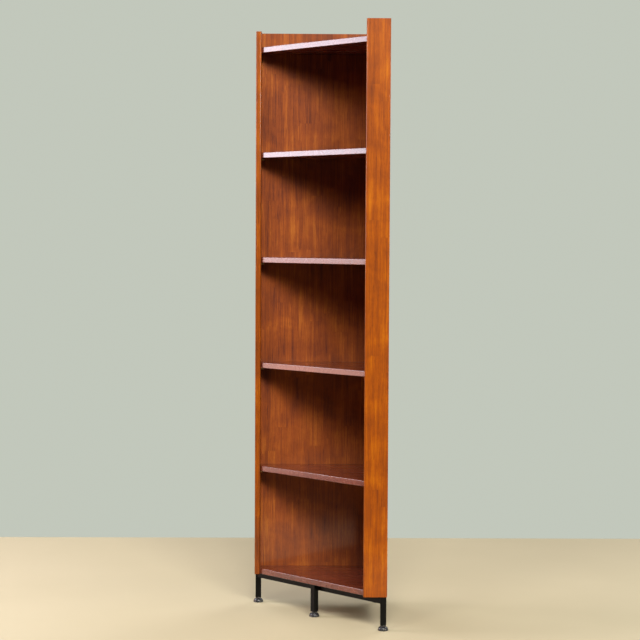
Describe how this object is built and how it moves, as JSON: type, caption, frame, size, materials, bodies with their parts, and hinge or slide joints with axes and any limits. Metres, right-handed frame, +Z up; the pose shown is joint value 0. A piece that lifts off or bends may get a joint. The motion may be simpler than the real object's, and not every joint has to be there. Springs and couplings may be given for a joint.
{
  "type": "corner bookcase",
  "caption": "Tall five-sided corner bookcase with shelves that lift off pull-out pins, on a welded steel base with screw-down levelling feet.",
  "frame": {"origin": "middle of the footprint, on the floor", "axes": "+Z up; +Y towards the wall behind the rear panel, +X towards the wall behind the side panel, so the open front faces -X -Y on the diagonal"},
  "size_m": [0.435, 0.435, 1.907],
  "materials": {
    "wall_wood": "red-brown stained, edge-glued hardwood staves, semi-gloss lacquer",
    "shelf_wood": "red-brown stained, edge-glued hardwood staves, gloss lacquer",
    "dowel_wood": "plain beech",
    "sleeve_brass": "bronzed brass",
    "pin_brass": "bronzed brass, turned",
    "black_steel": "satin black powder coat",
    "zinc_steel": "dark zinc plate",
    "foot_plastic": "black moulded"
  },
  "bodies": {
    "bookcase": {"rear_panel": "wall_wood", "side_panel": "wall_wood", "left_return": "wall_wood", "right_return": "wall_wood", "top_panel": "shelf_wood", "bottom_panel": "shelf_wood", "left_return_sleeves": "sleeve_brass", "rear_panel_sleeves": "sleeve_brass", "side_panel_sleeves": "sleeve_brass", "right_return_sleeves": "sleeve_brass", "corner_dowels": "dowel_wood", "left_return_dowels": "dowel_wood", "right_return_dowels": "dowel_wood", "top_panel_dowels": "dowel_wood", "bottom_panel_dowels": "dowel_wood", "front_rail": "black_steel", "rear_rail": "black_steel", "side_rail": "black_steel", "left_leg": "black_steel", "right_leg": "black_steel", "corner_leg": "black_steel", "middle_leg": "black_steel", "corner_plates": "black_steel", "middle_plate": "black_steel", "base_screws": "zinc_steel", "leg_nuts": "zinc_steel"},
    "shelf_1": {"shelf_1": "shelf_wood"},
    "shelf_2": {"shelf_2": "shelf_wood"},
    "shelf_3": {"shelf_3": "shelf_wood"},
    "shelf_4": {"shelf_4": "shelf_wood"},
    "shelf_1_left_pin": {"shelf_1_left_pin": "pin_brass"},
    "shelf_1_rear_pin": {"shelf_1_rear_pin": "pin_brass"},
    "shelf_1_side_pin": {"shelf_1_side_pin": "pin_brass"},
    "shelf_1_right_pin": {"shelf_1_right_pin": "pin_brass"},
    "shelf_2_left_pin": {"shelf_2_left_pin": "pin_brass"},
    "shelf_2_rear_pin": {"shelf_2_rear_pin": "pin_brass"},
    "shelf_2_side_pin": {"shelf_2_side_pin": "pin_brass"},
    "shelf_2_right_pin": {"shelf_2_right_pin": "pin_brass"},
    "shelf_3_left_pin": {"shelf_3_left_pin": "pin_brass"},
    "shelf_3_rear_pin": {"shelf_3_rear_pin": "pin_brass"},
    "shelf_3_side_pin": {"shelf_3_side_pin": "pin_brass"},
    "shelf_3_right_pin": {"shelf_3_right_pin": "pin_brass"},
    "shelf_4_left_pin": {"shelf_4_left_pin": "pin_brass"},
    "shelf_4_rear_pin": {"shelf_4_rear_pin": "pin_brass"},
    "shelf_4_side_pin": {"shelf_4_side_pin": "pin_brass"},
    "shelf_4_right_pin": {"shelf_4_right_pin": "pin_brass"},
    "left_foot_pad": {"left_foot_pad": "foot_plastic"},
    "right_foot_pad": {"right_foot_pad": "foot_plastic"},
    "corner_foot_pad": {"corner_foot_pad": "foot_plastic"},
    "middle_foot_pad": {"middle_foot_pad": "foot_plastic"},
    "left_foot_stem": {"left_foot_stem": "zinc_steel"},
    "right_foot_stem": {"right_foot_stem": "zinc_steel"},
    "corner_foot_stem": {"corner_foot_stem": "zinc_steel"},
    "middle_foot_stem": {"middle_foot_stem": "zinc_steel"}
  },
  "joints": [
    {"name": "shelf_1_lift", "type": "slide", "parent": "bookcase", "child": "shelf_1", "axis": [0, 0, 1], "range_m": [0, 0.31]},
    {"name": "shelf_2_lift", "type": "slide", "parent": "bookcase", "child": "shelf_2", "axis": [0, 0, 1], "range_m": [0, 0.31]},
    {"name": "shelf_3_lift", "type": "slide", "parent": "bookcase", "child": "shelf_3", "axis": [0, 0, 1], "range_m": [0, 0.31]},
    {"name": "shelf_4_lift", "type": "slide", "parent": "bookcase", "child": "shelf_4", "axis": [0, 0, 1], "range_m": [0, 0.31]},
    {"name": "shelf_1_left_pin_pull", "type": "slide", "parent": "bookcase", "child": "shelf_1_left_pin", "axis": [1, 0, 0], "range_m": [0, 0.01]},
    {"name": "shelf_1_rear_pin_pull", "type": "slide", "parent": "bookcase", "child": "shelf_1_rear_pin", "axis": [0, -1, 0], "range_m": [0, 0.01]},
    {"name": "shelf_1_side_pin_pull", "type": "slide", "parent": "bookcase", "child": "shelf_1_side_pin", "axis": [-1, 0, 0], "range_m": [0, 0.01]},
    {"name": "shelf_1_right_pin_pull", "type": "slide", "parent": "bookcase", "child": "shelf_1_right_pin", "axis": [0, 1, 0], "range_m": [0, 0.01]},
    {"name": "shelf_2_left_pin_pull", "type": "slide", "parent": "bookcase", "child": "shelf_2_left_pin", "axis": [1, 0, 0], "range_m": [0, 0.01]},
    {"name": "shelf_2_rear_pin_pull", "type": "slide", "parent": "bookcase", "child": "shelf_2_rear_pin", "axis": [0, -1, 0], "range_m": [0, 0.01]},
    {"name": "shelf_2_side_pin_pull", "type": "slide", "parent": "bookcase", "child": "shelf_2_side_pin", "axis": [-1, 0, 0], "range_m": [0, 0.01]},
    {"name": "shelf_2_right_pin_pull", "type": "slide", "parent": "bookcase", "child": "shelf_2_right_pin", "axis": [0, 1, 0], "range_m": [0, 0.01]},
    {"name": "shelf_3_left_pin_pull", "type": "slide", "parent": "bookcase", "child": "shelf_3_left_pin", "axis": [1, 0, 0], "range_m": [0, 0.01]},
    {"name": "shelf_3_rear_pin_pull", "type": "slide", "parent": "bookcase", "child": "shelf_3_rear_pin", "axis": [0, -1, 0], "range_m": [0, 0.01]},
    {"name": "shelf_3_side_pin_pull", "type": "slide", "parent": "bookcase", "child": "shelf_3_side_pin", "axis": [-1, 0, 0], "range_m": [0, 0.01]},
    {"name": "shelf_3_right_pin_pull", "type": "slide", "parent": "bookcase", "child": "shelf_3_right_pin", "axis": [0, 1, 0], "range_m": [0, 0.01]},
    {"name": "shelf_4_left_pin_pull", "type": "slide", "parent": "bookcase", "child": "shelf_4_left_pin", "axis": [1, 0, 0], "range_m": [0, 0.01]},
    {"name": "shelf_4_rear_pin_pull", "type": "slide", "parent": "bookcase", "child": "shelf_4_rear_pin", "axis": [0, -1, 0], "range_m": [0, 0.01]},
    {"name": "shelf_4_side_pin_pull", "type": "slide", "parent": "bookcase", "child": "shelf_4_side_pin", "axis": [-1, 0, 0], "range_m": [0, 0.01]},
    {"name": "shelf_4_right_pin_pull", "type": "slide", "parent": "bookcase", "child": "shelf_4_right_pin", "axis": [0, 1, 0], "range_m": [0, 0.01]},
    {"name": "left_foot_slide", "type": "slide", "parent": "bookcase", "child": "left_foot_pad", "axis": [0, 0, -1], "range_m": [0, 0.012]},
    {"name": "left_foot_spin", "type": "hinge", "parent": "left_foot_pad", "child": "left_foot_stem", "pos_m": [-0.201, 0.201, 0.017], "axis": [0, 0, -1], "range_deg": [0, 3456]},
    {"name": "right_foot_slide", "type": "slide", "parent": "bookcase", "child": "right_foot_pad", "axis": [0, 0, -1], "range_m": [0, 0.012]},
    {"name": "right_foot_spin", "type": "hinge", "parent": "right_foot_pad", "child": "right_foot_stem", "pos_m": [0.201, -0.201, 0.017], "axis": [0, 0, -1], "range_deg": [0, 3456]},
    {"name": "corner_foot_slide", "type": "slide", "parent": "bookcase", "child": "corner_foot_pad", "axis": [0, 0, -1], "range_m": [0, 0.012]},
    {"name": "corner_foot_spin", "type": "hinge", "parent": "corner_foot_pad", "child": "corner_foot_stem", "pos_m": [0.201, 0.201, 0.017], "axis": [0, 0, -1], "range_deg": [0, 3456]},
    {"name": "middle_foot_slide", "type": "slide", "parent": "bookcase", "child": "middle_foot_pad", "axis": [0, 0, -1], "range_m": [0, 0.012]},
    {"name": "middle_foot_spin", "type": "hinge", "parent": "middle_foot_pad", "child": "middle_foot_stem", "pos_m": [-0.01344, -0.01344, 0.017], "axis": [0, 0, -1], "range_deg": [0, 3456]}
  ],
  "couplings": [
    {"joint": "left_foot_spin", "follows": "left_foot_slide", "rad_per_m": 5026.5},
    {"joint": "right_foot_spin", "follows": "right_foot_slide", "rad_per_m": 5026.5},
    {"joint": "corner_foot_spin", "follows": "corner_foot_slide", "rad_per_m": 5026.5},
    {"joint": "middle_foot_spin", "follows": "middle_foot_slide", "rad_per_m": 5026.5}
  ]
}
